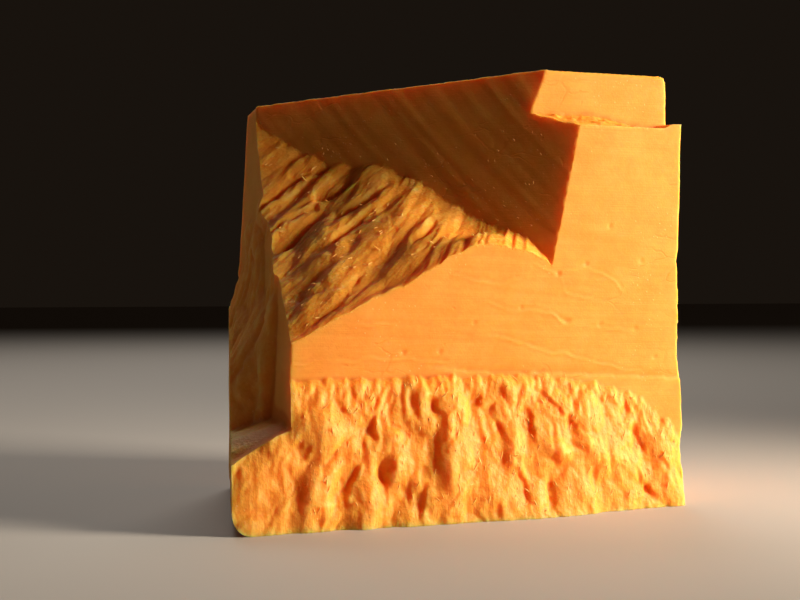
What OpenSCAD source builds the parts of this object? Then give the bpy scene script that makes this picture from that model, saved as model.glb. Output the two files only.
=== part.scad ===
// Block of cheddar, taken down from a large block with a wire and by hand.
// Each missing piece was cut part of the way with the wire and then snapped off, so every
// cut plane ends in a torn surface. Millimetres, +Z up, front towards -Y, origin at the
// centre of the underside.

/* [Block] */
// Width over everything, from the left toe to the right side
block_w = 308; // [290:1:330]
// Depth over everything, from the foot's front to the back
block_d = 188; // [175:1:200]
// Height at the front edge of the top
block_h = 286; // [276:1:296]
// How far the top falls towards the back, in degrees
top_fall = 8.3; // [4:0.1:10]
// Rounding of the top's right edge
top_round = 4; // [2:0.5:8]

/* [Front cut] */
// How far the smooth front lies behind the foot's front
foot_out = 26; // [20:1:30]
// Height at which the wire stopped and the front was snapped off
front_stop = 87; // [80:1:94]
// How far that line drops at the right side
front_stop_drop = 46; // [30:1:55]

/* [Left cut] */
// How far the left toe reaches past the smooth front's left edge
toe_w = 42; // [36:1:46]
// Height of the toe's top at its outer side
toe_z = 44; // [38:1:50]
// Rounding of the toe's lower outer edge
toe_round = 12; // [6:1:16]
// How far the toe's outer side runs in, for each unit of depth
toe_taper = 0.195; // [0.15:0.005:0.22]
// Lean of the left cut, as sideways shift for each unit of height
left_lean = 0.055; // [0.03:0.005:0.07]

/* [Corner cut] */
// Height of the torn slope at the front left corner
slope_z = 108; // [104:1:112]
// Where the corner cut meets the smooth front, at the height of corner_z
corner_x = 172; // [165:1:178]
// Height of the lowest point of that edge
corner_z = 159; // [154:1:164]
// Lean of that edge, as sideways shift for each unit of height
corner_lean = 0.22; // [0.18:0.01:0.26]
// Sideways run of the corner cut for each unit of depth
corner_run = 1.41; // [1.3:0.01:1.5]

/* [Top step] */
// How far the top step lies behind the smooth front
step_back = 20; // [16:1:24]
// Height of the step's front edge
step_z = 247.6; // [242:0.1:252]
// How much the ledge rises towards the back, for each unit of depth
step_rise = 0.42; // [0.2:0.02:0.6]

/* [Torn surfaces] */
// Width of one torn scoop
scoop_w = 20; // [16:1:26]
// How deep the scoops are
scoop_deep = 5; // [3:0.5:6]
// Spacing of the points on a torn surface
grain = 6.5; // [6:0.5:10]

/* [Hidden] */
face_w = block_w - toe_w;
back_y = block_d - foot_out;
mid_x = face_w - block_w / 2;
mid_y = back_y - block_d / 2;
far = 400; // past everything
sink = 5; // how far a torn surface runs behind a cut plane that stayed smooth

// Hollows in the foot, each with x, height, half width, half height, lean and depth
hollows = [[45, 62, 7, 16, -0.1, 9], [36, 28, 8, 15, 0.5, 10], [66, 40, 6, 18, 0.1, 4],
           [96, 50, 5, 20, 0.1, 5], [122, 66, 6, 11, 0.3, 6], [128, 53, 6, 12, -0.3, 7],
           [146, 62, 5, 14, 0.1, 6], [166, 68, 6, 17, -0.6, 7], [180, 52, 8, 9, -0.4, 8],
           [216, 66, 7, 10, -0.3, 6], [226, 42, 7, 12, -0.3, 8], [228, 18, 8, 9, -0.8, 7],
           [132, 14, 7, 10, -0.2, 5], [84, 20, 6, 13, 0.2, 5]];

// ---- Fixed pseudo-random numbers, and the relief made from them ----

function fract(t) = t - floor(t);
function dice(i, j, seed) = fract(sin(i * 127.1 + j * 311.7 + seed * 74.7) * 4375.85);
function blend(t) = t * t * (3 - 2 * t);
function clamp01(t) = min(1, max(0, t));
function ramp(t, a, b) = blend(clamp01((t - a) / (b - a)));

// Smooth value noise from -1 to 1, one lump for each unit of u and v
function lumps(u, v, seed) =
    let (i = floor(u), j = floor(v), s = blend(u - i), t = blend(v - j))
    2 * ((1 - s) * ((1 - t) * dice(i, j, seed) + t * dice(i, j + 1, seed))
       + s * ((1 - t) * dice(i + 1, j, seed) + t * dice(i + 1, j + 1, seed))) - 1;

// Hollow scoops with sharp crests between them, from 0 in the hollows to 1 on the crests
function scoops(u, v, seed) =
    min(1, min([for (i = [floor(u) - 1 : floor(u) + 1], j = [floor(v) - 1 : floor(v) + 1])
        pow(u - i - 0.15 - 0.7 * dice(i, j, seed), 2)
        + pow(v - j - 0.15 - 0.7 * dice(i, j, seed + 1), 2)]));

// Relief of a torn surface, drawn out along v, the way the tear ran
function torn(u, v, seed) =
    let (bend = 0.35 * scoop_w * lumps(u / (2.2 * scoop_w), v / (2.6 * scoop_w), seed + 5),
         a = (u + bend) / scoop_w,
         b = v / (2 * scoop_w))
    scoop_deep * (scoops(a, b, seed) - 0.35 + 0.75 * lumps(0.6 * a, 0.7 * b, seed + 9));

// Depth of the foot's hollows at x and z
function hollow_at(x, z) =
    max([for (h = hollows)
        let (u = (x - h[0] - h[4] * (z - h[1])) / h[2], v = (z - h[1]) / h[3])
        h[5] * blend(clamp01(1.3 - 0.8 * sqrt(u * u + v * v)))]);

// ---- The torn surfaces, each as a distance from its own plane ----

// Height at which the smooth front ends, over x: level, and then dropping to the right side
function front_end(x) =
    let (t = clamp01((x - 150) / (face_w - 150)))
    front_stop - front_stop_drop * (0.44 * pow(t, 1.6) + 0.56 * pow(t, 8));

// Broken foot of the front: how far it stands out from the smooth front, over x and z
function foot_at(x, z) =
    let (low = front_end(x) - z,
         reach = foot_out - 2 - 12 * ramp(x, 150, face_w),
         fan = 120 + (x - 120) / (1 + 0.003 * low))
    low <= 0 ? max(-sink, low)
    : reach * pow(clamp01(low / 88), 0.75)
      + (0.9 * torn(fan, z, 3) - hollow_at(x, z)) * ramp(low, -4, 16);

// Slope torn below the corner cut: its height, over x and y
function slope_at(x, y) =
    let (dip = 0.0078 * pow(max(0, x - 100), 2) + 13 * ramp(-abs(x - 128), -45, 0) * ramp(y, 4, 24),
         lift = 0.0075 * pow(max(0, y - 85), 2),
         across = 0.97 * y - 0.25 * x,
         along = 0.97 * x + 0.25 * y)
    slope_z + 0.52 * x + 0.95 * y - dip + lift
    + 1.4 * torn(across, along, 21) * ramp(y + 0.2 * x, -10, 14) * ramp(250 - x, 30, 150);

// Left side below the left cut: how far it stands out from that cut, over y and z
function side_at(y, z) =
    let (reach = toe_w + 3 - toe_taper * max(0, y),
         toe = ramp(-z, -toe_z - 20, -toe_z + 16 * ramp(-y, -15, 10)),
         behind = ramp(y, 28, 90) * ramp(-z, -165, -55),
         out = max(toe, behind),
         rough = max(ramp(out, 0.01, 0.15), ramp(y, 33, 45) * ramp(-z - 0.45 * (y - 101), -210, -196)))
    out * reach + torn(y, z, 41) * rough * (1 - 0.8 * ramp(out, 0.8, 1)) - sink * (1 - rough);

// Ledge of the top step: its height, over x and y
function ledge_at(x, y) =
    step_z + step_rise * max(0, y) + 3 * ramp(x, face_w - 14, face_w - 6)
    + 1.2 * lumps(x / 7, y / 6, 61) * ramp(y, 0, 5);

// ---- Building blocks ----

function steps(a, b, size) = let (n = ceil((b - a) / size)) [for (i = [0 : n]) a + (b - a) * i / n];

// Closed solid between the surface hs, given over the grid us by vs, and the flat top above it
module over_surface(us, vs, hs, top) {
    nu = len(us);
    nv = len(vs);
    c = nu * nv;
    function at(i, j) = i * nv + j;
    polyhedron(
        points = concat(
            [for (i = [0 : nu - 1], j = [0 : nv - 1]) [us[i], vs[j], hs[i][j]]],
            [for (u = [us[0], us[nu - 1]], v = [vs[0], vs[nv - 1]]) [u, v, top]]),
        faces = concat(
            [for (i = [0 : nu - 2], j = [0 : nv - 2]) [at(i, j), at(i + 1, j), at(i + 1, j + 1)]],
            [for (i = [0 : nu - 2], j = [0 : nv - 2]) [at(i, j), at(i + 1, j + 1), at(i, j + 1)]],
            [for (j = [0 : nv - 2]) [at(0, j), at(0, j + 1), c]],
            [for (j = [0 : nv - 2]) [at(nu - 1, j + 1), at(nu - 1, j), c + 2]],
            [for (i = [0 : nu - 2]) [at(i + 1, 0), at(i, 0), c]],
            [for (i = [0 : nu - 2]) [at(i, nv - 1), at(i + 1, nv - 1), c + 1]],
            [[at(0, nv - 1), c + 1, c], [at(nu - 1, nv - 1), c + 2, c + 3], [at(nu - 1, 0), c, c + 2],
             [c + 1, at(nu - 1, nv - 1), c + 3], [c, c + 1, c + 3], [c, c + 3, c + 2]]));
}

// Bar that rounds off an outer edge running along +Y: the edge is at the origin and the solid
// lies towards -X and -Z
module edge_cutter(r, length) {
    rotate([-90, 0, 0])
        linear_extrude(length)
            difference() {
                translate([-r, -r]) square(2 * r);
                translate([-r, r]) circle(r, $fn = 48);
            }
}

// ---- The block and what was cut from it ----

// Side outline of the block, over y and z, with its falling top
module blank() {
    back_h = block_h - tan(top_fall) * (back_y - step_back);
    translate([-toe_w, 0, 0])
        rotate([90, 0, 90])
            linear_extrude(block_w)
                polygon([[-foot_out, 0], [back_y, 0], [back_y, back_h], [step_back, block_h],
                         [-foot_out, block_h]]);
}

// Rounding of the top's right edge
module top_rounding() {
    translate([face_w, step_back, block_h])
        rotate([-top_fall, 0, 0])
            translate([0, -step_back, 0])
                edge_cutter(top_round, far);
}

// What lies outside the toe's outer side, which runs in towards the back
module outside_of_toe() {
    translate([-toe_w, -foot_out, 0])
        rotate([0, 0, -atan(toe_taper)]) {
            translate([-far, -far / 2, -far / 2])
                cube([far, 2 * far, 2 * far]);
            translate([0, -far / 2, 0])
                mirror([1, 0, 0])
                    mirror([0, 0, 1])
                        edge_cutter(toe_round, 2 * far);
        }
}

// Piece cut from the front with the wire and snapped off above the foot
module front_piece() {
    us = steps(-50, face_w + 6, grain);
    vs = concat(steps(-3, front_stop + 6, grain), [far]);
    intersection() {
        translate([-far / 2, -far, -far / 2])
            cube([2 * far, far, 2 * far]);
        rotate([90, 0, 0])
            over_surface(us, vs, [for (u = us) [for (v = vs) foot_at(u, v)]], far / 2);
    }
}

// Slab cut from the left side and broken off above the toe
module left_piece() {
    us = steps(-foot_out - 6, back_y + 6, 1.3 * grain);
    vs = concat(steps(-3, 216, 1.3 * grain), [far]);
    shift = -left_lean * slope_z;
    intersection() {
        multmatrix([[1, 0, left_lean, shift], [0, 1, 0, 0], [0, 0, 1, 0]])
            translate([-far, -far / 2, -far / 2])
                cube([far, 2 * far, 2 * far]);
        multmatrix([[0, left_lean, -1, shift], [1, 0, 0, 0], [0, 1, 0, 0]])
            over_surface(us, vs, [for (u = us) [for (v = vs) side_at(u, v)]], far / 2);
    }
}

// Wedge cut from the front left corner and torn off down the slope
module corner_piece() {
    us = steps(-14, corner_x + 40, grain);
    vs = steps(-8, back_y - 16, grain);
    shift = corner_x - corner_lean * corner_z;
    intersection() {
        multmatrix([[1, -corner_run, corner_lean, shift], [0, 1, 0, 0], [0, 0, 1, 0]])
            translate([-2 * far, -far / 2, -far / 2])
                cube([2 * far, far, 2 * far]);
        over_surface(us, vs, [for (u = us) [for (v = vs) slope_at(u, v)]], far);
    }
}

// Slice cut from the front of the top, which leaves the step
module step_piece() {
    us = steps(corner_x - 20, face_w + 6, 0.7 * grain);
    vs = steps(-6, step_back + 4, 0.7 * grain);
    intersection() {
        translate([0, step_back - far, 0])
            cube([far, far, 2 * far]);
        over_surface(us, vs, [for (u = us) [for (v = vs) ledge_at(u, v)]], far);
    }
}

module cheddar() {
    color([0.93, 0.62, 0.22])
        translate([-mid_x, -mid_y, 0])
            difference() {
                blank();
                top_rounding();
                outside_of_toe();
                front_piece();
                left_piece();
                corner_piece();
                step_piece();
            }
}

cheddar();
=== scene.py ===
import math

import bpy
import numpy as np
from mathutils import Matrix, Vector


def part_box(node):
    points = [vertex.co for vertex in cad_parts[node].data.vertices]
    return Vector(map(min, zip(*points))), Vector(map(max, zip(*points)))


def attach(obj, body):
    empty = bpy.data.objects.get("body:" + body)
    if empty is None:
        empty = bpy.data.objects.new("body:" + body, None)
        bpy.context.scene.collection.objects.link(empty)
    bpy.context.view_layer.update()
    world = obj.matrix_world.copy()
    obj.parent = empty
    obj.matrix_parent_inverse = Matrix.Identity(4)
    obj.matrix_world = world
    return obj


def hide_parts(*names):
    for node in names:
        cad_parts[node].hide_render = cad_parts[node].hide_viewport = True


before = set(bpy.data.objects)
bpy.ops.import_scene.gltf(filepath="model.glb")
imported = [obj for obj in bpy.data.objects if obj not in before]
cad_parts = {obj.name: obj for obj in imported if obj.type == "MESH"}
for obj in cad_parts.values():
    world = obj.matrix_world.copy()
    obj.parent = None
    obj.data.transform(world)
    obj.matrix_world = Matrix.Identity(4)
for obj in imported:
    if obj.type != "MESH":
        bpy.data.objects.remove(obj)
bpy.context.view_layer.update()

# ---------------------------------------------------------------------------------------
# The camera
# A still camera at the height of the block's lower half, a little to its left, looking
# almost level along the corner cut.
# ---------------------------------------------------------------------------------------

camera_data = bpy.data.cameras.new("camera")
camera = bpy.data.objects.new("camera", camera_data)
bpy.context.scene.collection.objects.link(camera)
camera_data.sensor_width = 36.0
camera_data.lens = 59.6
camera_data.clip_end = 50.0
camera_turn = math.radians(18.85)
camera_dip = math.radians(0.65)
camera.location = (-0.3062, -0.8384, 0.1445)
camera.rotation_euler = (math.pi / 2 - camera_dip, 0.0, -camera_turn)
bpy.context.scene.camera = camera

# ---------------------------------------------------------------------------------------
# The block of cheddar
# One block of pressed curd. A wire cut its top, back, right side, front, left side and front
# left corner; the last stretch of the front, left and corner cuts was snapped off by hand,
# which left torn, fibrous curd.
# ---------------------------------------------------------------------------------------

# Lengths are in millimetres. x is measured from the smooth front's left edge, y from the
# smooth front and z from the underside.
low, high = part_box("cheddar")
FACE_W = 266.0
BACK_Y = 162.0
BLOCK_H = high.z * 1000.0
# How far the foot stands out of the front, and where the front's wire stopped
FOOT_OUT = (high.y - low.y) * 1000.0 - BACK_Y
FRONT_STOP = 87.0
FRONT_DROP = 46.0
# The toe that stands out of the left side, its taper to the back and its rounded lower edge
TOE_W = 42.0
TOE_Z = 44.0
TOE_ROUND = 12.0
TOE_TAPER = 0.195
LEFT_LEAN = 0.055
# The top's fall to the back, and the step cut into its front edge
TOP_FALL = math.tan(math.radians(8.3))
TOP_ROUND = 4.0
STEP_BACK = 20.0
STEP_Z = 247.6
STEP_RISE = 0.42
# The corner cut meets the front at CORNER_X, CORNER_Z and runs back to the left over the slope
CORNER_X = 172.0
CORNER_Z = 159.0
CORNER_LEAN = 0.22
CORNER_RUN = 1.41
SLOPE_Z = 108.0
# The broad scoops of torn curd, and how far a torn face sinks below a smooth one where it ends
SCOOP_W = 20.0
SCOOP_DEEP = 5.0
SINK = 5.0
# A cut face lies this far inside the block's size, which leaves room for its ripples
SHAVED = 0.35
# Heights between which the right side turns from cut to broken
CUT_ABOVE = 90.0
BROKEN_BELOW = 74.0
# Cutters reach from below the underside to above the top
BELOW = -6
ABOVE = 300
# The crease that the wire left above the foot, as x, and as height
CREASE_X = (74, 118, 160, 261)
CREASE_Z = (96, 90, 88.5, 83)

# Hollows in the foot: x, height, half width, half height, lean and depth
HOLLOWS = (
    (44, 57, 6, 13, 0.15, 11), (28, 29, 7, 17, 0.42, 10), (53, 29, 4, 14, 0.1, 6),
    (65, 19, 3.5, 8, 0.2, 5), (74, 74, 3.4, 10, 0.1, 6), (86, 70, 5, 9, 0.0, 6),
    (82, 42, 7, 14, 0.1, 5), (77, 31, 5, 5, 0.0, 4), (73, 14, 3.5, 12, 0.2, 6),
    (37, 79, 3, 7, -0.3, 4), (50, 75, 3, 8, 0.9, 5), (27, 70, 4, 7, -0.5, 4),
    (1, 45, 6, 7, 0.3, 5), (8, 8, 4, 8, 0.1, 4), (125, 57, 6, 12, -0.2, 8),
    (117, 72, 4.5, 6, 0.3, 5), (148, 57, 4, 13, -0.1, 7), (164, 71, 4.5, 13, -0.7, 7),
    (175, 53, 7, 10, -0.3, 9), (167, 31, 8, 5, 0.3, 4), (218, 66, 6, 11, -0.4, 8),
    (228, 43, 6.5, 12, -0.35, 9), (228, 15, 7, 9, -0.9, 8), (194, 24, 3, 8, 0.1, 4),
    (139, 20, 4.5, 14, -0.4, 6), (121, 9, 5, 7, 0.0, 5), (158, 12, 6, 11, 0.2, 4),
    (101, 60, 3, 9, 0.2, 3), (248, 58, 4, 9, -0.4, 4), (246, 22, 4, 8, 0.2, 4),
)
# Swellings between them: x, height, half width, half height, lean and how far they stand out
SWELLINGS = (
    (18, 57, 15, 17, 0.0, 4), (60, 45, 9, 20, 0.1, 3), (101, 40, 13, 40, 0.1, 4),
    (40, 12, 10, 22, 0.2, 3), (168, 41, 9, 8, -0.5, 3), (198, 50, 17, 34, -0.2, 4),
    (140, 40, 8, 16, 0.1, 2), (12, 22, 11, 22, 0.3, 3), (250, 36, 10, 30, 0.0, 2),
)


def dice(i, j, seed):
    """A steady random number from 0 to 1 for each whole place."""
    t = np.sin(np.radians(i * 127.1 + j * 311.7 + seed * 74.7)) * 4375.85
    return t - np.floor(t)


def blend(t):
    return t * t * (3.0 - 2.0 * t)


def ramp(t, a, b):
    """0 before a, 1 after b, with an even curve between them."""
    return blend(np.clip((t - a) / (b - a), 0.0, 1.0))


def lumps(u, v, seed):
    """Broad lumps, -1 to 1."""
    i, j = np.floor(u), np.floor(v)
    s, t = blend(u - i), blend(v - j)
    near = (1 - t) * dice(i, j, seed) + t * dice(i, j + 1, seed)
    next_to = (1 - t) * dice(i + 1, j, seed) + t * dice(i + 1, j + 1, seed)
    return 2.0 * ((1 - s) * near + s * next_to) - 1.0


def waves(u, v, seed):
    """Gradient noise, about -1 to 1."""
    i, j = np.floor(u), np.floor(v)
    s, t = u - i, v - j
    total = 0.0
    for di in (0, 1):
        for dj in (0, 1):
            turn = dice(i + di, j + dj, seed) * 2 * np.pi * 7.0
            slope = np.cos(turn) * (s - di) + np.sin(turn) * (t - dj)
            total = total + slope * blend(1 - np.abs(s - di)) * blend(1 - np.abs(t - dj))
    return 1.6 * total


def crests(u, v, seed):
    """Thin crests where the noise crosses zero, 0 to 1."""
    return np.maximum(0.0, 1.0 - 5.0 * np.abs(waves(u, v, seed))) ** 1.5


def pillows(u, v, seed):
    """Tilted domes that overlap, the highest one showing, about -0.5 to 0.7."""
    i, j = np.floor(u), np.floor(v)
    tallest = np.full(np.shape(u), -9.0)
    for di in (-1, 0, 1):
        for dj in (-1, 0, 1):
            m, n = i + di, j + dj
            du = u - m - 0.1 - 0.8 * dice(m, n, seed)
            dv = v - n - 0.1 - 0.8 * dice(m, n, seed + 1)
            tilt = (dice(m, n, seed + 2) - 0.5) * du + (dice(m, n, seed + 3) - 0.5) * dv
            dome = 0.7 * dice(m, n, seed + 4) + 1.7 * tilt - 1.2 * (du * du + dv * dv)
            tallest = np.maximum(tallest, dome)
    return tallest


def scoops(u, v, seed):
    """Squared distance to the nearest of a scatter of points, at most 1."""
    i, j = np.floor(u), np.floor(v)
    nearest = np.ones(np.shape(u))
    for di in (-1, 0, 1):
        for dj in (-1, 0, 1):
            a = dice(i + di, j + dj, seed)
            b = dice(i + di, j + dj, seed + 1)
            d = (u - i - di - 0.15 - 0.7 * a) ** 2 + (v - j - dj - 0.15 - 0.7 * b) ** 2
            nearest = np.minimum(nearest, d)
    return nearest


def torn(u, v, seed):
    """The broad scoops that curd leaves where it is torn."""
    bend = 0.35 * SCOOP_W * lumps(u / (2.2 * SCOOP_W), v / (2.6 * SCOOP_W), seed + 5)
    a = (u + bend) / SCOOP_W
    b = v / (2.0 * SCOOP_W)
    return SCOOP_DEEP * (scoops(a, b, seed) - 0.35 + 0.75 * lumps(0.6 * a, 0.7 * b, seed + 9))


def curd(u, v, width, length, seed):
    """Torn curd up close: smooth pillows longest along v, chips on them and thin crests."""
    a = u + 0.33 * width * waves(u / (1.1 * width), v / (0.8 * length), seed)
    b = v + 0.20 * length * waves(u / width, v / length, seed + 1)
    a = a + 0.07 * width * waves(u / (0.35 * width), v / (0.3 * length), seed + 2)
    big = 0.30 * width * pillows(a / width, b / length, seed + 3)
    middle = 0.10 * width * pillows(2.3 * a / width, 2.5 * b / length, seed + 8)
    chips = 0.045 * width * pillows(5.2 * a / width, 5.6 * b / length, seed + 13)
    patch = ramp(waves(u / (1.6 * width), v / length, seed + 18), -0.1, 0.35)
    threads = 0.5 * patch * crests(a / (0.35 * width), b / (0.9 * length), seed + 19)
    return big + middle + chips + threads


def hollow_depth(x, z):
    """Depth of the foot's hollows: each falls away gently from the left to a steep right side."""
    deepest = np.zeros(np.shape(x))
    for hx, hz, half_w, half_h, lean, depth in HOLLOWS:
        u = (x - hx - lean * (z - hz)) / half_w
        v = (z - hz) / half_h
        cross = ramp(u, -1.7, 0.35) * ramp(-u, -1.2, -0.7)
        deepest = np.maximum(deepest, depth * cross * ramp(-np.abs(v), -1.25, -0.1))
    return deepest


def swelling(x, z):
    """How far the foot's swellings stand out."""
    stands = np.zeros(np.shape(x))
    for sx, sz, half_w, half_h, lean, out in SWELLINGS:
        u = (x - sx - lean * (z - sz)) / half_w
        v = (z - sz) / half_h
        stands = stands + out * blend(np.clip(1.25 - np.hypot(u, v), 0.0, 1.0))
    return stands


def front_end(x):
    """Height at which the smooth front ends and the foot starts."""
    t = np.clip((x - 150) / (FACE_W - 150), 0.0, 1.0)
    return FRONT_STOP - FRONT_DROP * (0.44 * t ** 1.6 + 0.56 * t ** 8)


def drag_lines(along, across, seed):
    """Marks that the wire leaves as it is pulled through."""
    broad = 0.14 * waves(along / 150, across / 7, seed + 1)
    fine = 0.10 * waves(along / 260, across / 2.6, seed)
    return broad + fine + 0.12 * ramp(waves(along / 90, across / 11, seed + 2), 0.35, 0.5)


def crack(u, v, points, width):
    """How near a place is to a crack that runs through the points, 0 to 1."""
    nearest = np.full(np.shape(u), 1e9)
    for (ua, va), (ub, vb) in zip(points[:-1], points[1:]):
        run_u, run_v = ub - ua, vb - va
        t = np.clip(((u - ua) * run_u + (v - va) * run_v) / (run_u ** 2 + run_v ** 2), 0.0, 1.0)
        nearest = np.minimum(nearest, np.hypot(u - ua - t * run_u, v - va - t * run_v))
    return np.exp(-(nearest / width) ** 2)


# Seams on the smooth front where curds knitted badly: the points, as x and height, of each
FRONT_SEAMS = (
    ((128, 134), (150, 129.5), (172, 128), (181, 121), (206, 118), (230, 116)),
    ((128, 113), (170, 103), (198, 97), (238, 88.5)),
    ((1, 98), (24, 99.5), (62, 101), (84, 99), (101, 98)),
    ((36, 121), (48, 121.5), (65, 122)),
    ((160, 160), (176, 152), (196, 158), (214, 150), (222, 141)),
    ((176, 152), (182, 141), (200, 137)),
    ((104, 152), (126, 147), (148, 149)),
)
# Small holes there: x, height, half width and half height
FRONT_HOLES = (
    (71, 103, 1.6, 1.1), (95, 103, 1.5, 1.0), (182, 121, 2.2, 1.3), (206, 119, 1.4, 1.0),
    (231, 116, 1.6, 1.1), (150, 130, 1.2, 0.9), (176, 152, 1.5, 1.2), (196, 158, 1.3, 1.0),
    (213, 183, 1.3, 0.9), (236, 160, 1.5, 1.0), (118, 121, 1.2, 0.8), (246, 97, 1.5, 0.9),
)


def front(x, z):
    """How far the front stands out from its smooth part, and where it is torn."""
    end = front_end(x) + 2.0 * waves(x / 9, z / 30, 70) + 1.2 * waves(x / 3.5, z / 20, 71)
    under = end - z
    reach = FOOT_OUT - 2 - 12 * ramp(x, 150, FACE_W)
    fan = 120 + (x - 120) / (1 + 0.003 * np.maximum(under, 0.0))
    warp_x = x + 2.6 * waves(x / 12, z / 15, 72) + 1.3 * waves(x / 4.5, z / 6, 76)
    warp_z = z + 4.0 * waves(x / 14, z / 19, 73) + 1.0 * waves(x / 6, z / 5, 81)
    hollows = hollow_depth(warp_x, warp_z) * (0.8 + 0.35 * waves(x / 5, z / 9, 82))
    hollows = hollows * (1 - 0.25 * ramp(x, 90, 150))
    tufts = pillows((x - 0.35 * z + 1.5 * waves(x / 9, z / 9, 83)) / 3.4, z / 13, 84)
    tufts = tufts * ramp(under, -1, 4) * ramp(-under, -26, -6)
    # The foot: its even curve outwards, then scoops, swellings, hollows, curd and tufts
    foot = (
        reach * np.clip(under / 88, 0.0, 1.0) ** 0.75
        + (0.25 * torn(fan, z, 3) + 1.0 * swelling(x, z) - 0.46 * hollows) * ramp(under, -4, 16)
        + 0.64 * curd(fan, z, 16.0, 27.0, 80) * ramp(under, -2, 10) + 1.0 * tufts
        + 0.4
    )
    foot = np.where(under > 0, foot, np.maximum(-SINK, 1.4 * under))
    # The smooth part, which drops back under the foot so that hollows can go deep
    below = 7 * ramp(under, 6, 24)
    smooth = 0.25 * waves(x / 60, z / 45, 74) + drag_lines(x, z + 0.06 * x, 75)
    crease = np.interp(x, CREASE_X, CREASE_Z) + 0.5 * waves(x / 12, x / 31, 87)
    above_it = -0.9 * np.clip(1 - (z - crease) / 6, 0.0, 1.0) ** 1.5
    below_it = 0.25 + 0.09 * (crease - z)
    smooth = smooth + ramp(x, 70, 140) * np.where(z > crease, above_it, below_it)
    bent_x = x + 2.5 * waves(x / 13, z / 11, 77)
    bent_z = z + 2.0 * waves(x / 11, z / 17, 78)
    patch = 0.3 + 0.7 * ramp(waves(x / 17, z / 21, 79), -0.35, 0.25)
    for points in FRONT_SEAMS:
        smooth = smooth - 0.45 * patch * crack(bent_x, bent_z, points, 0.7)
        smooth = smooth + 0.45 * patch * crack(bent_x, bent_z + 1.4, points, 0.8)
    for hx, hz, half_w, half_h in FRONT_HOLES:
        smooth = smooth - 1.1 * np.exp(-((x - hx) / half_w) ** 2 - ((z - hz) / half_h) ** 2)
    smooth = smooth - below
    broken = np.maximum(ramp(foot - smooth, 0.0, 0.4), ramp(below, 0.5, 1.0))
    return np.maximum(foot, smooth), broken


def side(y, z):
    """How far the left side stands out from the left cut, and where it is torn."""
    reach = TOE_W + 3 - TOE_TAPER * np.maximum(0.0, y)
    toe = ramp(-z, -TOE_Z - 20, -TOE_Z + 16 * ramp(-y, -15, 10))
    behind = ramp(y, 28, 90) * ramp(-z, -165, -55)
    out = np.maximum(toe, behind)
    line = -z - 0.45 * (y - 101) + 5 * waves(y / 14, z / 14, 90)
    rough = np.maximum(ramp(out, 0.01, 0.15), ramp(y, 33, 45) * ramp(line, -210, -196))
    worn = 0.8 * torn(y, z, 41) + curd(y, z, 12.0, 25.0, 92)
    smooth = 0.2 * waves(y / 50, z / 40, 95) + drag_lines(y, z, 96)
    stands = out * reach + worn * rough * (1 - 0.8 * ramp(out, 0.8, 1.0)) - SINK * (1 - rough)
    return np.maximum(stands, smooth), ramp(stands - smooth, 0.0, 0.4)


# Cracks across the slope: the points that each runs through, as x and y, its width and depth
SLOPE_CRACKS = (
    (((30, 96), (17, 94), (2, 90)), 1.6, 3.5), (((50, 95), (38, 97), (26, 99)), 1.6, 3.0),
    (((35, 73), (21, 74), (4, 70)), 1.3, 2.5), (((47, 15), (34, 14), (23, 17), (5, 24)), 0.8, 1.6),
    (((60, 78), (49, 75), (38, 79)), 2.2, 4.0), (((72, 60), (58, 58), (46, 60)), 1.8, 3.0),
    (((66, 49), (52, 47), (40, 43)), 1.5, 2.5), (((102, 29), (94, 24), (86, 22)), 2.0, 3.0),
)


def slope(x, y):
    """Height of the slope torn below the corner cut."""
    dip = 0.0078 * np.maximum(0.0, x - 100) ** 2
    dip = dip + 13 * ramp(-np.abs(x - 128), -45, 0) * ramp(y, 4, 24)
    lift = 0.0075 * np.maximum(0.0, y - 85) ** 2
    across = y - 0.19 * x - 0.010 * np.maximum(0.0, x - 70) ** 2
    sway = 3.0 * waves(x / 40, across / 26, 101) + 1.2 * waves(x / 15, across / 12, 102)
    across = across + sway
    feathery = ramp(x - y, 10, 50)
    fade = ramp(y + 0.2 * x, -10, 14) * ramp(250 - x, 30, 150)
    broad = curd(across, x, 13.0, 36.0, 21)
    thin = 0.8 * curd(across, x, 7.5, 30.0, 30)
    rough = (1.15 * broad + 0.35 * thin) * (1 - feathery) + (0.45 * broad + 1.2 * thin) * feathery
    rough = rough + 0.45 * torn(across, x, 21)
    fan = ramp(waves(x / 22, across / 9, 108), -0.2, 0.4)
    threads = 0.9 * fan * crests(across / 3.2, x / 34, 109)
    rough = rough + threads + 0.5 * pillows(across / 2.6, x / 9, 110)
    for points, width, depth in SLOPE_CRACKS:
        bent_y = y + 1.5 * waves(x / 9, y / 9, 107)
        rough = rough - depth * crack(x, bent_y, points, width)
    return SLOPE_Z + 0.52 * x + 0.95 * y - dip + lift + rough * (0.25 + 0.75 * fade)


def ledge(x, y):
    """Height of the ledge under the top step."""
    crumble = 1.2 * lumps(x / 7, y / 6, 61) + 0.8 * waves(x / 3, y / 2.5, 62)
    rise = STEP_RISE * (1 - 0.85 * ramp(x, FACE_W - 60, FACE_W - 8))
    height = STEP_Z + rise * np.maximum(0.0, y) + 3 * ramp(x, FACE_W - 14, FACE_W - 6)
    return height + crumble * ramp(y, 0, 5) * ramp(-x, -FACE_W + 4, -FACE_W + 40)


def lines(*stretches):
    """Grid lines over one or more stretches, each (from, to, spacing)."""
    made = []
    for a, b, spacing in stretches:
        count = max(1, int(math.ceil((b - a) / spacing)))
        made += [a + (b - a) * k / count for k in range(count)]
    return np.array(made + [stretches[-1][1]])


def to_row(points):
    """From the block's own millimetres to the row frame in metres."""
    shift = np.array([high.x * 1000 - FACE_W, high.y * 1000 - BACK_Y, 0.0])
    return (points + shift) / 1000.0


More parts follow.
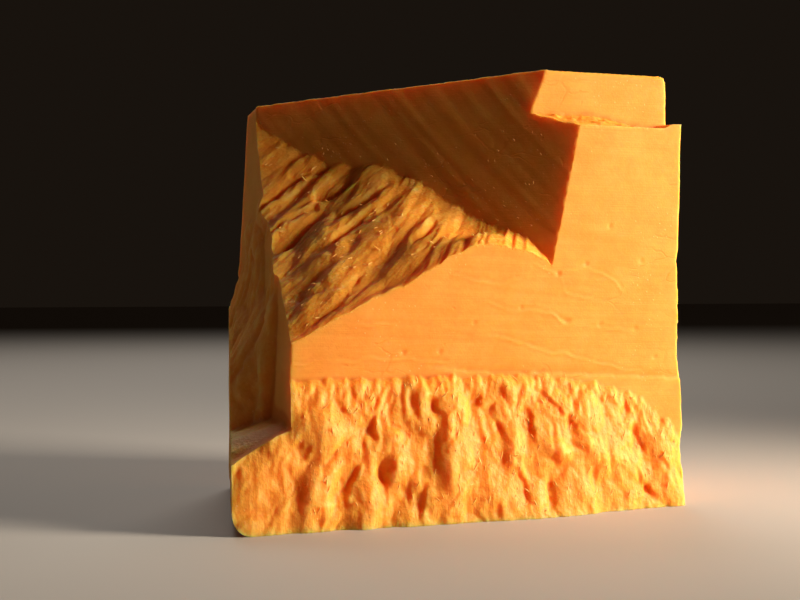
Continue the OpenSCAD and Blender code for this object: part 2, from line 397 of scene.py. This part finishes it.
def off_cut(name, points, away):
    """A closed solid that starts at a gridded surface and reaches away from it."""
    rows, columns = points.shape[:2]
    grid = np.arange(rows * columns).reshape(rows, columns)
    rim = np.concatenate([grid[0, :-1], grid[:-1, -1], grid[-1, :0:-1], grid[:0:-1, 0]])
    flat = points.reshape(-1, 3)
    far_rim = flat[rim] + np.array(away)
    quads = np.stack([grid[:-1, :-1], grid[1:, :-1], grid[1:, 1:], grid[:-1, 1:]], -1).reshape(-1, 4)
    base = rows * columns
    count = len(rim)
    faces = quads.tolist()
    for k in range(count):
        m = (k + 1) % count
        faces.append([int(rim[k]), int(rim[m]), base + m, base + k])
    faces.append([base + k for k in range(count)])
    mesh = bpy.data.meshes.new(name)
    mesh.from_pydata(to_row(np.concatenate([flat, far_rim])).tolist(), [], faces)
    made = bpy.data.objects.new(name, mesh)
    bpy.context.scene.collection.objects.link(made)
    corner_a = points[1, 0] - points[0, 0]
    corner_b = points[0, 1] - points[0, 0]
    if np.dot(np.cross(corner_a, corner_b), np.array(away)) > 0:
        mesh.flip_normals()
    return made


def combine(piece, tool, operation):
    """Cuts tool from piece, or keeps what they share, and deletes tool."""
    modifier = piece.modifiers.new("cut", "BOOLEAN")
    modifier.operation = operation
    modifier.solver = "MANIFOLD"
    modifier.object = tool
    depsgraph = bpy.context.evaluated_depsgraph_get()
    cut = bpy.data.meshes.new_from_object(piece.evaluated_get(depsgraph))
    piece.modifiers.clear()
    old = piece.data
    piece.data = cut
    bpy.data.meshes.remove(old)
    bpy.data.objects.remove(tool)


def stacked(x, y, z):
    """Points from their three measures."""
    return np.stack(np.broadcast_arrays(x, y, z), -1)


# The uncut block, a little oversize all round
u, v = np.meshgrid([-46.0, 270.0], [-32.0, 167.0], indexing="ij")
cheese = off_cut("cheddar_block", stacked(u, v, 292.0), (0, 0, -295.0))

# Underside
u, v = np.meshgrid(lines((-52, 276, 5)), lines((-36, 172, 5)), indexing="ij")
combine(cheese, off_cut("underside", stacked(u, v, 0 * u), (0, 0, -120.0)), "DIFFERENCE")

# Top, which falls towards the back
u, v = np.meshgrid(lines((-52, 276, 3.5)), lines((-36, 172, 3.5)), indexing="ij")
top = BLOCK_H - TOP_FALL * np.maximum(-30.0, v - STEP_BACK)
top = top + 0.2 * waves(u / 60, v / 50, 110) + drag_lines(v, u, 111) - SHAVED
combine(cheese, off_cut("top", stacked(u, v, top), (0, 0, 150.0)), "DIFFERENCE")

# Back
u, v = np.meshgrid(lines((-52, 276, 4)), lines((BELOW, ABOVE, 4)), indexing="ij")
back = BACK_Y - SHAVED + 0.25 * waves(u / 55, v / 60, 113) + drag_lines(u, v, 114)
combine(cheese, off_cut("back", stacked(u, back, v), (0, 150.0, 0)), "DIFFERENCE")

# Right side, smooth above and wavy where it was broken below
RIGHT_X = 264.6
# Its outline along the front edge, as height and x
RIGHT_OUTLINE = (
    (0, 264.0), (10, 262.6), (22, 264.2), (38, 262.4), (52, 264.4), (70, 265.3), (84, 264.6), (94, 263.2),
    (136, 263.2), (155, 263.0), (160, 261.8), (165, 263.2), (201, 264.7), (249, 265.6), (300, 265.2),
)


def broken_low(z):
    """1 where the right side is broken, 0 where it is cut."""
    return ramp(-z, -CUT_ABOVE, -BROKEN_BELOW)


def right_side(y, z):
    """How far to the right the right side stands."""
    edge = np.interp(z, *zip(*RIGHT_OUTLINE))
    edge = RIGHT_X + (edge - RIGHT_X) * (1 - 0.75 * ramp(y, 10, 80))
    edge = edge + broken_low(z) * (1.3 * waves(y / 17, z / 12, 116) + 0.5 * waves(y / 6, z / 5, 117))
    edge = edge + 0.2 * waves(y / 50, z / 40, 118) + drag_lines(y, z, 119)
    return np.minimum(edge, FACE_W - 0.05)


u, v = np.meshgrid(lines((-36, 172, 3)), lines((BELOW, 110, 2), (110, ABOVE, 3)), indexing="ij")
combine(cheese, off_cut("right", stacked(right_side(u, v), u, v), (150.0, 0, 0)), "DIFFERENCE")

# Rounding of the top's right edge
turn = np.linspace(0, math.pi / 2, 9)
profile_x = np.concatenate([[-12.0], TOP_ROUND * np.sin(turn) - TOP_ROUND, [0.4]])
profile_z = np.concatenate([[0.8], TOP_ROUND * np.cos(turn) - TOP_ROUND, [-14.0]])
run, k = np.meshgrid(lines((-20, 176, 4)), np.arange(len(profile_x)), indexing="ij")
points = stacked(265.2 + profile_x[k], run, BLOCK_H - SHAVED + profile_z[k] - TOP_FALL * (run - STEP_BACK))
combine(cheese, off_cut("top_rounding", points, (80.0, 0, 80.0)), "DIFFERENCE")

# Outer side of the toe, with its rounded lower edge
turn = np.linspace(0, math.pi / 2, 13)
inward = np.concatenate([np.zeros(24), TOE_ROUND - TOE_ROUND * np.cos(turn), [TOE_ROUND + 8]])
height = [np.linspace(240, TOE_ROUND + 5, 24), TOE_ROUND - TOE_ROUND * np.sin(turn), [-0.8]]
height = np.concatenate(height)
run, k = np.meshgrid(lines((-40, 180, 4)), np.arange(len(inward)), indexing="ij")
skin = 0.5 + 0.5 * waves(run / 40, height[k] / 30, 121) + 0.15 * waves(run / 9, height[k] / 8, 122)
points = stacked(-TOE_W + inward[k] + skin + TOE_TAPER * (run + FOOT_OUT), run, height[k])
combine(cheese, off_cut("toe_side", points, (-80.0, 0, -20.0)), "DIFFERENCE")

# Front: smooth above, broken below
rows = lines(
    (-2, 98, 1.05), (98, 160, 1.2), (160, 190, 1.5), (190, 250, 2.5), (250, 290, 1.8), (290, ABOVE, 5),
)
u, v = np.meshgrid(lines((-48, 272, 1.1)), rows, indexing="ij")
combine(cheese, off_cut("front", stacked(u, -front(u, v)[0], v), (0, -90.0, 0)), "DIFFERENCE")

# Left side: smooth above, torn in the middle, with the toe below
u, v = np.meshgrid(lines((-34, 170, 1.6)), lines((-5, 215, 1.6), (215, ABOVE, 4)), indexing="ij")
points = stacked(LEFT_LEAN * (v - SLOPE_Z) - side(u, v)[0], u, v)
combine(cheese, off_cut("left", points, (-120.0, 0, 0)), "DIFFERENCE")


def corner_x(y, z):
    """Where the corner cut is at a depth y and a height z."""
    return CORNER_X - CORNER_LEAN * (CORNER_Z - z) - CORNER_RUN * y


# Corner cut with the torn slope below it
u, v = np.meshgrid(lines((-14, 215, 1.1)), lines((-6, 146, 1.1)), indexing="ij")
wedge = off_cut("wedge", stacked(u, v, slope(u, v)), (0, 0, 250.0))
u, v = np.meshgrid(lines((-40, 260, 2)), lines((90, ABOVE, 2)), indexing="ij")
wire = 0.3 * waves(u / 55, v / 45, 125) + 2.0 * drag_lines(u, v - 0.87 * u, 126)
run_length = math.hypot(1.0, CORNER_RUN)
flare = 0.18 * np.maximum(0.0, v - 254)
cut_x = corner_x(0, v) + flare - (u * CORNER_RUN + wire) / run_length
points = stacked(cut_x, (u - wire * CORNER_RUN) / run_length, v)
combine(wedge, off_cut("corner_cut", points, (-300.0, -300.0, 0)), "INTERSECT")
combine(cheese, wedge, "DIFFERENCE")

# Step at the top, with the crumbled ledge below it
u, v = np.meshgrid(lines((CORNER_X - 24, 272, 1.2)), lines((-8, STEP_BACK + 6, 1.2)), indexing="ij")
slice_off = off_cut("slice", stacked(u, v, ledge(u, v)), (0, 0, 80.0))
u, v = np.meshgrid(lines((CORNER_X - 30, 276, 2)), lines((236, ABOVE, 2)), indexing="ij")
wire = 0.25 * waves(u / 50, v / 40, 128) + drag_lines(u, v, 129)
combine(slice_off, off_cut("step_cut", stacked(u, STEP_BACK - wire, v), (0, -60.0, 0)), "INTERSECT")
combine(cheese, slice_off, "DIFFERENCE")


def edges_of(mesh):
    """The two points of each edge, one row each."""
    ends = np.empty(2 * len(mesh.edges), dtype=np.int64)
    mesh.edges.foreach_get("vertices", ends)
    return ends.reshape(-1, 2)


def places_of(mesh):
    """The mesh's points, one row each."""
    flat = np.empty(3 * len(mesh.vertices))
    mesh.vertices.foreach_get("co", flat)
    return flat.reshape(-1, 3)


def averaged(values, ends, times):
    """Values spread over their neighbours along the edges, a number of times."""
    count = len(values)
    neighbours = np.bincount(ends.ravel(), minlength=count)[:, None]
    for _ in range(times):
        total = np.empty_like(values)
        for k in range(values.shape[1]):
            total[:, k] = (
                np.bincount(ends[:, 0], values[ends[:, 1], k], count)
                + np.bincount(ends[:, 1], values[ends[:, 0], k], count)
            )
        values = total / np.maximum(neighbours, 1)
    return values


# Where the curd is torn, from how near each point lies to a torn surface
NEAR = 0.3
mesh = cheese.data
ends = edges_of(mesh)
places = places_of(mesh)
x, y, z = (places * 1000.0 - np.array([high.x * 1000 - FACE_W, high.y * 1000 - BACK_Y, 0.0])).T
front_out, front_torn = front(x, z)
side_out, side_torn = side(y, z)
on_front = np.abs(y + front_out) < NEAR
on_side = np.abs(LEFT_LEAN * (z - SLOPE_Z) - side_out - x) < NEAR
on_slope = np.abs(z - slope(x, y)) < NEAR
on_slope &= x < corner_x(y, z) + 1.0
on_ledge = (np.abs(z - ledge(x, y)) < NEAR) & (x > CORNER_X - 24) & (y < STEP_BACK + 1)
on_right = np.abs(x - right_side(y, z)) < NEAR
torn_mask = np.maximum.reduce([
    on_front * front_torn, on_side * side_torn, 1.0 * on_slope, 1.0 * on_ledge,
    0.6 * broken_low(z) * on_right,
])

# Which way the cheese faces at each point; the mean is short where faces meet at an edge
normals = np.empty(3 * len(mesh.polygons))
mesh.polygons.foreach_get("normal", normals)
normals = normals.reshape(-1, 3)
loops = np.empty(len(mesh.loops), dtype=np.int64)
mesh.loops.foreach_get("vertex_index", loops)
sizes = np.empty(len(mesh.polygons), dtype=np.int64)
mesh.polygons.foreach_get("loop_total", sizes)
per_corner = np.repeat(normals, sizes, axis=0)
corners = np.bincount(loops, minlength=len(places))
mean = np.stack([np.bincount(loops, per_corner[:, k], len(places)) for k in range(3)], -1)
mean = mean / np.maximum(corners, 1)[:, None]

# Cut edges rounded a little, as soft cheese leaves the wire
sharp = ramp(1 - np.linalg.norm(mean, axis=1), 0.05, 0.14) * (1 - 0.85 * torn_mask)
sharp = np.clip(1.6 * averaged(sharp[:, None], ends, 1), 0.0, 1.0)
for _ in range(5):
    places = places + 0.5 * sharp * (averaged(places, ends, 1) - places)
mesh.vertices.foreach_set("co", places.ravel())
mesh.update()

# How deep each point lies below the surface around it, 0.5 where it is level; the colour uses it to paint
# shade into dips and hollows and light onto what stands out
unit = mean / np.maximum(np.linalg.norm(mean, axis=1), 1e-9)[:, None]
wide = np.einsum("ij,ij->i", averaged(places, ends, 36) - places, unit) * 1000.0
close = np.einsum("ij,ij->i", averaged(places, ends, 6) - places, unit) * 1000.0
depth = 0.5 + 0.11 * wide + 0.22 * close
depth = np.clip(averaged(depth[:, None], ends, 1)[:, 0], 0.0, 1.0)
# Where the curd's threads lie along the slope and do not stand; the colour also uses it for the slope's
# streaks and its painted shade
lying = averaged((1.0 * on_slope)[:, None], ends, 3)[:, 0]
for name, values in (("torn", torn_mask), ("depth", depth), ("lying", lying)):
    layer = mesh.attributes.new(name, "FLOAT", "POINT")
    layer.data.foreach_set("value", values.astype(np.float32))
mesh.polygons.foreach_set("use_smooth", [True] * len(mesh.polygons))
mesh.set_sharp_from_angle(angle=math.radians(55))

# The look of the curd, smooth where it is cut and fibrous where it is torn
tree = bpy.data.node_groups.new("curd_look", "ShaderNodeTree")
for name, kind, side_of in (
    ("Pale", "NodeSocketFloat", "INPUT"), ("Knit", "NodeSocketFloat", "INPUT"),
    ("Colour", "NodeSocketColor", "OUTPUT"), ("Roughness", "NodeSocketFloat", "OUTPUT"),
    ("Height", "NodeSocketFloat", "OUTPUT"),
):
    tree.interface.new_socket(name, in_out=side_of, socket_type=kind)
given = tree.nodes.new("NodeGroupInput").outputs


def put(kind, settings=None, **values):
    """One node with its settings and input values; a socket given as a value is linked."""
    node = tree.nodes.new("ShaderNode" + kind)
    for key, value in (settings or {}).items():
        setattr(node, key, value)
    for key, value in values.items():
        socket = node.inputs[int(key[1:])] if key[0] == "i" and key[1:].isdigit() else node.inputs[key]
        if isinstance(value, bpy.types.NodeSocket):
            tree.links.new(value, socket)
        else:
            socket.default_value = value
    return node


def math_of(kind, a, b):
    return put("Math", {"operation": kind}, i0=a, i1=b).outputs[0]


def plus(a, b):
    return math_of("ADD", a, b)


def minus(a, b):
    return math_of("SUBTRACT", a, b)


def times(a, b):
    return math_of("MULTIPLY", a, b)


def noise(where, scale, detail=3.0, rough=0.55):
    return put("TexNoise", Vector=where, Scale=scale, Detail=detail, Roughness=rough).outputs["Fac"]


def between(value, low_end, high_end):
    """0 at low_end, 1 at high_end, with an even curve between them."""
    settings = {"interpolation_type": "SMOOTHSTEP"}
    return put("MapRange", settings, i0=value, i1=low_end, i2=high_end).outputs[0]


def mixed(amount, first, second):
    """The first colour, or the second where amount is 1."""
    return put("Mix", {"data_type": "RGBA"}, i0=amount, i6=first, i7=second).outputs[2]


# Colours of a cut face in its deeper and its paler patches, of its seams, of the painted shade in its
# dips, and of the pale flecks all over
CUT_DEEPER = (0.85, 0.305, 0.038, 1.0)
CUT_PALER = (0.92, 0.375, 0.064, 1.0)
SEAM_COLOUR = (0.76, 0.20, 0.015, 1.0)
DIP_SHADE_COLOUR = (0.74, 0.19, 0.014, 1.0)
FLECK_COLOUR = (1.0, 0.68, 0.28, 1.0)

place = put("TexCoord").outputs["Object"]
torn_here = put("Attribute", {"attribute_name": "torn"}).outputs["Fac"]
# Painted shade and light: how far each point lies below the surface around it turns the colour deeper in
# dips and hollows and paler, as if lit, where the curd stands out; Pale moves every point towards the lit
# end
shade_depth = put("Attribute", {"attribute_name": "depth"}).outputs["Fac"]
shade_depth = minus(shade_depth, given["Pale"])

# Cut curd: mottled, with seams and small holes where it knitted badly
wide_noise = noise(place, 45.0, 4.0)
fine_noise = noise(place, 420.0, 3.0)
mottle = plus(times(wide_noise, 0.65), times(fine_noise, 0.35))
smooth_colour = mixed(between(mottle, 0.30, 0.70), CUT_DEEPER, CUT_PALER)
sway = put("TexNoise", Vector=place, Scale=60.0).outputs["Color"]
sway = put("VectorMath", {"operation": "SCALE"}, Vector=sway, Scale=0.016).outputs["Vector"]
bent = put("VectorMath", {"operation": "ADD"}, i0=place, i1=sway).outputs["Vector"]
flat = put("Mapping", Vector=bent, Scale=(1.0, 1.0, 2.0)).outputs["Vector"]
seam = put("TexVoronoi", {"feature": "DISTANCE_TO_EDGE"}, Vector=flat, Scale=36.0).outputs["Distance"]
seam = times(between(seam, 0.055, 0.0), between(noise(place, 24.0, 2.0), 0.53, 0.66))
hole = put("TexVoronoi", {"feature": "F1"}, Vector=bent, Scale=62.0).outputs["Distance"]
hole = times(between(hole, 0.11, 0.05), between(noise(place, 35.0, 1.0), 0.50, 0.56))
knit = times(math_of("MAXIMUM", seam, hole), given["Knit"])
smooth_colour = mixed(times(knit, 0.22), smooth_colour, SEAM_COLOUR)
# Painted shade in dips and inner corners: the cut face turns deeper orange where it lies below the surface
# around it
smooth_colour = mixed(between(shade_depth, 0.56, 0.80), smooth_colour, DIP_SHADE_COLOUR)

# Torn curd: painted light where it stands out and painted shade in its hollows, with tone that varies at
# random, and streaked along the slope
coarse_noise = noise(place, 110.0, 3.0)
shade = plus(shade_depth, times(minus(fine_noise, 0.5), 0.45))
shade = plus(shade, times(minus(coarse_noise, 0.5), 0.6))
lying_here = put("Attribute", {"attribute_name": "lying"}).outputs["Fac"]
turned = put("Mapping", Vector=place, Rotation=(0.0, 0.0, -0.25)).outputs["Vector"]
streaked = put("Mapping", Vector=turned, Scale=(32.0, 330.0, 36.0)).outputs["Vector"]
# Painted shade: the streaks are centred above the noise's middle, so the slope as a whole is painted a
# little deeper orange, as if dimmer lit
streak_and_slope_shade = minus(noise(streaked, 1.0, 3.0), 0.42)
shade = plus(shade, times(times(streak_and_slope_shade, 1.3), lying_here))
# From the palest curd, painted as lit where it stands out, to the deepest, painted as shaded in its
# hollows
TORN_COLOURS = (
    (0.0, (0.97, 0.52, 0.13, 1.0)),
    (0.4, (0.92, 0.37, 0.052, 1.0)),
    (0.58, (0.88, 0.31, 0.034, 1.0)),
    (0.8, (0.84, 0.275, 0.027, 1.0)),
    (1.0, (0.79, 0.23, 0.019, 1.0)),
)
torn_ramp = put("ValToRGB", Fac=shade)
stops = torn_ramp.color_ramp.elements
for at, colour in TORN_COLOURS:
    stop = stops[0] if at == 0.0 else stops[-1] if at == 1.0 else stops.new(at)
    stop.color = colour
colour = mixed(torn_here, smooth_colour, torn_ramp.outputs["Color"])

# Pale flecks
fleck = put("TexVoronoi", {"feature": "F1"}, Vector=place, Scale=290.0).outputs["Distance"]
fleck = times(between(fleck, 0.20, 0.08), between(noise(place, 28.0, 2.0), 0.52, 0.62))
colour = mixed(times(fleck, 0.35), colour, FLECK_COLOUR)

# Sheen: torn curd is a little moister
roughness = plus(0.53, times(fine_noise, 0.22))
roughness = minus(roughness, times(torn_here, 0.14))

# Fine relief: wire marks and pebbles on cut curd, fibres and grains on torn curd
stretched = put("Mapping", Vector=place, Scale=(18.0, 18.0, 900.0)).outputs["Vector"]
drag = times(noise(stretched, 1.0, 2.0), 0.10)
pebble = times(noise(place, 800.0, 3.0), 0.12)
fibrous = put("Mapping", Vector=place, Scale=(700.0, 700.0, 150.0)).outputs["Vector"]
fibre = times(noise(fibrous, 1.0, 3.0, 0.6), 0.38)
lengthwise = put("Mapping", Vector=turned, Scale=(90.0, 750.0, 100.0)).outputs["Vector"]
lying_fibre = times(noise(lengthwise, 1.0, 3.0, 0.6), 0.9)
fibre = plus(fibre, times(lying_here, minus(lying_fibre, fibre)))
grains = put("TexVoronoi", {"feature": "F1"}, Vector=place, Scale=420.0).outputs["Distance"]
grains = times(grains, 0.25)
smooth_height = minus(plus(drag, pebble), times(knit, 0.14))
torn_height = plus(fibre, grains)
rise = minus(torn_height, smooth_height)
height = plus(smooth_height, times(torn_here, rise))
height = plus(height, times(fleck, 0.10))
result = tree.nodes.new("NodeGroupOutput").inputs
for socket, value in (("Colour", colour), ("Roughness", roughness), ("Height", height)):
    tree.links.new(value, result[socket])
curd_look = tree


def cheddar_material(name, pale, knit, glow):
    """The cheese: the look of curd on a waxy body that light goes into by a share, glow."""
    made = bpy.data.materials.new(name)
    made.use_nodes = True
    nodes, links = made.node_tree.nodes, made.node_tree.links
    shader = nodes["Principled BSDF"]
    look = nodes.new("ShaderNodeGroup")
    look.node_tree = curd_look
    # Pale moves the curd towards the painted light; the flakes are given it, the block is not
    look.inputs["Pale"].default_value = pale
    look.inputs["Knit"].default_value = knit
    bump = nodes.new("ShaderNodeBump")
    bump.inputs["Distance"].default_value = 0.001
    bump.inputs["Strength"].default_value = 0.8
    links.new(look.outputs["Colour"], shader.inputs["Base Color"])
    links.new(look.outputs["Roughness"], shader.inputs["Roughness"])
    links.new(look.outputs["Height"], bump.inputs["Height"])
    links.new(bump.outputs["Normal"], shader.inputs["Normal"])
    shader.inputs["Subsurface Weight"].default_value = glow
    shader.inputs["Subsurface Radius"].default_value = (1.0, 0.35, 0.10)
    shader.inputs["Subsurface Scale"].default_value = 0.014
    shader.inputs["IOR"].default_value = 1.46
    shader.inputs["Specular IOR Level"].default_value = 0.16
    return made


cheese.data.materials.clear()
cheese.data.materials.append(cheddar_material("cheddar", 0.0, 1.0, 0.9))
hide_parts("cheddar")
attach(cheese, "root")

# ---------------------------------------------------------------------------------------
# Flakes and crumbs of the same cheese
# Slivers of curd that lifted where the block was broken and stayed on it by one end, and
# crumbs that the wire left on the cuts. All are one joined mesh of small closed forms.
# ---------------------------------------------------------------------------------------

# Corners of a sliver's cross-section, cross-sections along it, and how deep it is pressed in
RING = 6
STATIONS = 5
PRESSED = 0.25
flake_places = []
flake_faces = []
rng = np.random.default_rng(17)


def sliver(root, along, out, length, width, bend):
    """A thin curved sliver, pressed into the cheese at its root and lifting towards its tip."""
    across = np.cross(along, out)
    first = sum(len(p) for p in flake_places)
    turn = np.arange(RING) * 2 * np.pi / RING
    rings = []
    for t in np.linspace(0.0, 1.0, STATIONS):
        wide = 0.5 * width * (0.35 + 0.65 * math.sin(math.pi * (0.15 + 0.7 * t)))
        thick = 0.16 * width + 0.10
        centre = root + along * length * t + out * (bend * t * t - PRESSED)
        centre = centre + across * 0.3 * length * t * (1 - t)
        ring = np.outer(np.cos(turn), across) * wide + np.outer(np.sin(turn), out) * thick
        rings.append(centre + ring)
    tip = root + along * (length + 0.3 * width) + out * (bend * 1.1 - PRESSED)
    flake_places.append(np.concatenate([root[None] - out * 0.5] + rings + [tip[None]]))
    last = first + 1 + RING * STATIONS
    for k in range(RING):
        m = (k + 1) % RING
        flake_faces.append((first, first + 1 + m, first + 1 + k))
        for r in range(STATIONS - 1):
            a = first + 1 + r * RING
            flake_faces.append((a + k, a + m, a + RING + m, a + RING + k))
        a = first + 1 + (STATIONS - 1) * RING
        flake_faces.append((a + k, a + m, last))


def scatter(count, place_of, a_range, b_range, lean, lengths):
    """Slivers at random places (a, b) of a surface; lean is their mean angle from b."""
    a, b = rng.uniform(*a_range, count), rng.uniform(*b_range, count)
    here, fits = place_of(a, b)
    along_a = place_of(a + 0.8, b)[0] - here
    along_b = place_of(a, b + 0.8)[0] - here
    for k in np.flatnonzero(fits):
        u = along_a[k] / np.linalg.norm(along_a[k])
        v = along_b[k] / np.linalg.norm(along_b[k])
        out = np.cross(u, v)
        out = out / np.linalg.norm(out)
        turn = rng.normal(lean, 0.42)
        along = math.sin(turn) * u + math.cos(turn) * v
        along = along / np.linalg.norm(along)
        length = rng.uniform(*lengths)
        sliver(here[k], along, out, length, rng.uniform(0.45, 1.1), rng.uniform(0.06, 0.22) * length)


def on_foot(a, b):
    height, broken = front(a, b)
    return stacked(a, -height, b), broken > 0.5


def on_torn_slope(a, b):
    height = slope(a, b)
    left_edge = LEFT_LEAN * (height - SLOPE_Z)
    return stacked(a, b, height), (a < corner_x(b, height) - 3) & (a > left_edge + 3)


def on_corner_cut(a, b):
    x = corner_x(a, b)
    return stacked(x, a, b), (b > slope(x, a) + 2) & (x > 8)


scatter(420, on_foot, (4, 258), (4, 84), 0.25, (2.0, 6.0))
scatter(260, on_torn_slope, (6, 150), (4, 118), -1.76, (2.0, 5.0))
scatter(90, on_corner_cut, (10, 112), (180, 246), 0.9, (0.7, 1.8))
flake_mesh = bpy.data.meshes.new("cheddar_flakes")
flake_mesh.from_pydata(to_row(np.concatenate(flake_places)).tolist(), [], flake_faces)
flake_mesh.update()
count = len(flake_mesh.vertices)
# Painted light: the flakes are given a depth that puts them at the pale end of the painted light and
# shade, as if lit where they stand out
for name, value in (("torn", 1.0), ("depth", 0.25)):
    layer = flake_mesh.attributes.new(name, "FLOAT", "POINT")
    layer.data.foreach_set("value", np.full(count, value, dtype=np.float32))
flake_mesh.polygons.foreach_set("use_smooth", [True] * len(flake_mesh.polygons))
flake_mesh.materials.append(cheddar_material("cheddar_flake", 0.1, 0.0, 0.2))
flakes = bpy.data.objects.new("cheddar_flakes", flake_mesh)
bpy.context.scene.collection.objects.link(flakes)
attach(flakes, "root")

# ---------------------------------------------------------------------------------------
# The floor and the lights
# A plain pale floor that runs out of sight, one soft key light from the front right, and
# weaker fills from the left and from behind.
# ---------------------------------------------------------------------------------------

floor_mesh = bpy.data.meshes.new("floor")
floor_mesh.from_pydata([(-8, -8, 0), (8, -8, 0), (8, 8, 0), (-8, 8, 0)], [], [(0, 1, 2, 3)])
floor = bpy.data.objects.new("floor", floor_mesh)
bpy.context.scene.collection.objects.link(floor)
floor_material = bpy.data.materials.new("floor")
floor_material.use_nodes = True
floor_shader = floor_material.node_tree.nodes["Principled BSDF"]
floor_shader.inputs["Base Color"].default_value = (0.47, 0.43, 0.38, 1.0)
floor_shader.inputs["Roughness"].default_value = 0.7
floor_mesh.materials.append(floor_material)


def soft_light(name, azimuth, elevation, distance, power, size, colour, spread=180):
    """A square lamp aimed at the block's middle; spread is the angle that its light fills."""
    data = bpy.data.lights.new(name, "AREA")
    data.spread = math.radians(spread)
    data.energy = power
    data.size = size
    data.color = colour
    lamp = bpy.data.objects.new(name, data)
    bpy.context.scene.collection.objects.link(lamp)
    a, e = math.radians(azimuth), math.radians(elevation)
    towards = Vector((math.cos(a) * math.cos(e), math.sin(a) * math.cos(e), math.sin(e)))
    lamp.location = towards * distance + Vector((0, 0, 0.12))
    lamp.rotation_euler = (-towards).to_track_quat("-Z", "Y").to_euler()


soft_light("key", -30, 16, 1.15, 4.7, 0.36, (1.0, 0.89, 0.75), 65)
soft_light("fill_left", 138, 30, 2.2, 1.6, 1.0, (1.0, 0.93, 0.86))
soft_light("fill_back", 80, 48, 2.4, 24, 1.4, (1.0, 0.95, 0.9))

world = bpy.data.worlds.new("world")
bpy.context.scene.world = world
world.use_nodes = True
world.node_tree.nodes["Background"].inputs["Color"].default_value = (0.62, 0.43, 0.29, 1.0)
world.node_tree.nodes["Background"].inputs["Strength"].default_value = 0.015
bpy.context.scene.view_settings.view_transform = "Standard"
